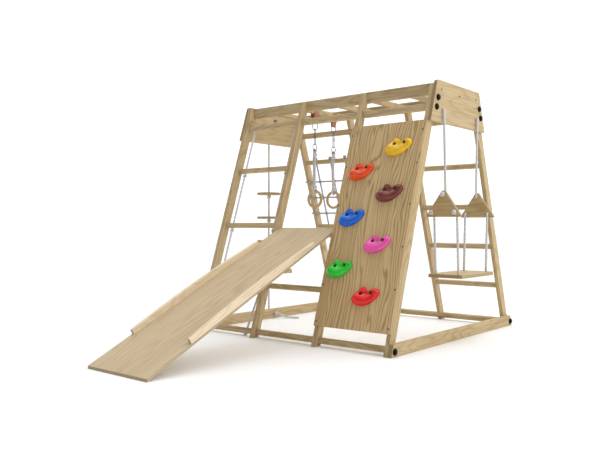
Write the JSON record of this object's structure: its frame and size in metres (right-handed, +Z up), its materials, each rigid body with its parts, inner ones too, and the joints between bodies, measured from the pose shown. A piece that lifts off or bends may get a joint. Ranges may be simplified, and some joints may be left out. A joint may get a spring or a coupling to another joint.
{
  "type": "climbing frame",
  "caption": "A-shaped wooden children's climbing frame with monkey bars, plywood wall with moulded holds, rope ladder, net, slide, rope swing, gym rings and disc rope.",
  "frame": {"origin": "centre of the footprint at floor level, taken without the ropes", "axes": "+Z up; +Y from the slide's foot towards the back of the frame; +X along the monkey-bar row towards the swing"},
  "size_m": [1.4935, 2.277, 1.292],
  "materials": {
    "timber": "satin",
    "plywood": "satin",
    "slide_board": "satin",
    "turned_wood": "satin",
    "rope": "matte",
    "webbing": "matte",
    "steel": "satin",
    "black_caps": "gloss",
    "plastic_yellow": "gloss",
    "plastic_orange": "gloss",
    "plastic_brown": "gloss",
    "plastic_blue": "gloss",
    "plastic_pink": "gloss",
    "plastic_green": "gloss",
    "plastic_red": "gloss"
  },
  "bodies": {
    "climbing_frame": {"back_rungs": "timber", "base_rails": "timber", "climbing_net": "rope", "climbing_panel": "plywood", "disc_eye_bolt": "steel", "disc_rope": "rope", "end_plank_left": "timber", "end_plank_right": "timber", "frame_bolts": "black_caps", "gable_board_left": "timber", "gable_board_right": "timber", "hand_rails": "timber", "hold_blue": "plastic_blue", "hold_bolts": "steel", "hold_brown": "plastic_brown", "hold_green": "plastic_green", "hold_orange": "plastic_orange", "hold_pink": "plastic_pink", "hold_red": "plastic_red", "hold_yellow": "plastic_yellow", "ladder_rope_left": "rope", "ladder_rope_right": "rope", "monkey_bars": "timber", "panel_screws": "steel", "post_back_1": "timber", "post_back_2": "timber", "post_back_3": "timber", "post_back_4": "timber", "post_front_1": "timber", "post_front_2": "timber", "post_front_3": "timber", "post_front_4": "timber", "ring_straps": "webbing", "rope_ladder_rungs": "timber", "slide_bay_rungs": "timber", "swing_rope_stubs": "rope", "top_beams": "timber"},
    "slide": {"slide_bed": "slide_board", "slide_sides": "timber", "slide_battens": "timber"},
    "swing": {"swing_rope_front": "rope", "swing_rope_rear": "rope", "swing_spreaders": "turned_wood", "swing_seat": "turned_wood", "seat_rope_front_inner": "rope", "seat_rope_front_outer": "rope", "seat_rope_rear_inner": "rope", "seat_rope_rear_outer": "rope"},
    "front_hanger": {"ring_hanger_front": "steel"},
    "rear_hanger": {"ring_hanger_rear": "steel"},
    "front_ring": {"rope_eye_front": "steel", "ring_rope_front": "rope", "gym_ring_front": "turned_wood"},
    "rear_ring": {"rope_eye_rear": "steel", "ring_rope_rear": "rope", "gym_ring_rear": "turned_wood"},
    "disc_1": {"rope_disc_1": "turned_wood"},
    "disc_2": {"rope_disc_2": "turned_wood"},
    "disc_3": {"rope_disc_3": "turned_wood"},
    "disc_4": {"rope_disc_4": "turned_wood"}
  },
  "joints": [
    {"name": "slide_lift_off", "type": "slide", "parent": "climbing_frame", "child": "slide", "axis": [0, 0, 1], "range_m": [0, 0.12]},
    {"name": "swing_pivot", "type": "hinge", "parent": "climbing_frame", "child": "swing", "pos_m": [0.6525, 0.4825, 1.152], "axis": [0, -1, 0], "range_deg": [-3, 40]},
    {"name": "front_ring_swing", "type": "hinge", "parent": "climbing_frame", "child": "front_hanger", "pos_m": [-0.23, 0.3925, 1.176], "axis": [0, 1, 0], "range_deg": [-30, 30]},
    {"name": "front_ring_sway", "type": "hinge", "parent": "front_hanger", "child": "front_ring", "pos_m": [-0.23, 0.3925, 1.0502], "axis": [1, 0, 0], "range_deg": [-18, 18]},
    {"name": "rear_ring_swing", "type": "hinge", "parent": "climbing_frame", "child": "rear_hanger", "pos_m": [-0.23, 0.5725, 1.176], "axis": [0, 1, 0], "range_deg": [-30, 30]},
    {"name": "rear_ring_sway", "type": "hinge", "parent": "rear_hanger", "child": "rear_ring", "pos_m": [-0.23, 0.5725, 1.0502], "axis": [1, 0, 0], "range_deg": [-18, 18]},
    {"name": "disc_1_turn", "type": "hinge", "parent": "climbing_frame", "child": "disc_1", "pos_m": [-0.674, 0.4825, 0.781], "axis": [0, 0, 1], "continuous": true},
    {"name": "disc_2_turn", "type": "hinge", "parent": "climbing_frame", "child": "disc_2", "pos_m": [-0.674, 0.4825, 0.63], "axis": [0, 0, 1], "continuous": true},
    {"name": "disc_3_turn", "type": "hinge", "parent": "climbing_frame", "child": "disc_3", "pos_m": [-0.674, 0.4825, 0.48], "axis": [0, 0, 1], "continuous": true},
    {"name": "disc_4_turn", "type": "hinge", "parent": "climbing_frame", "child": "disc_4", "pos_m": [-0.674, 0.4825, 0.33], "axis": [0, 0, 1], "continuous": true}
  ]
}
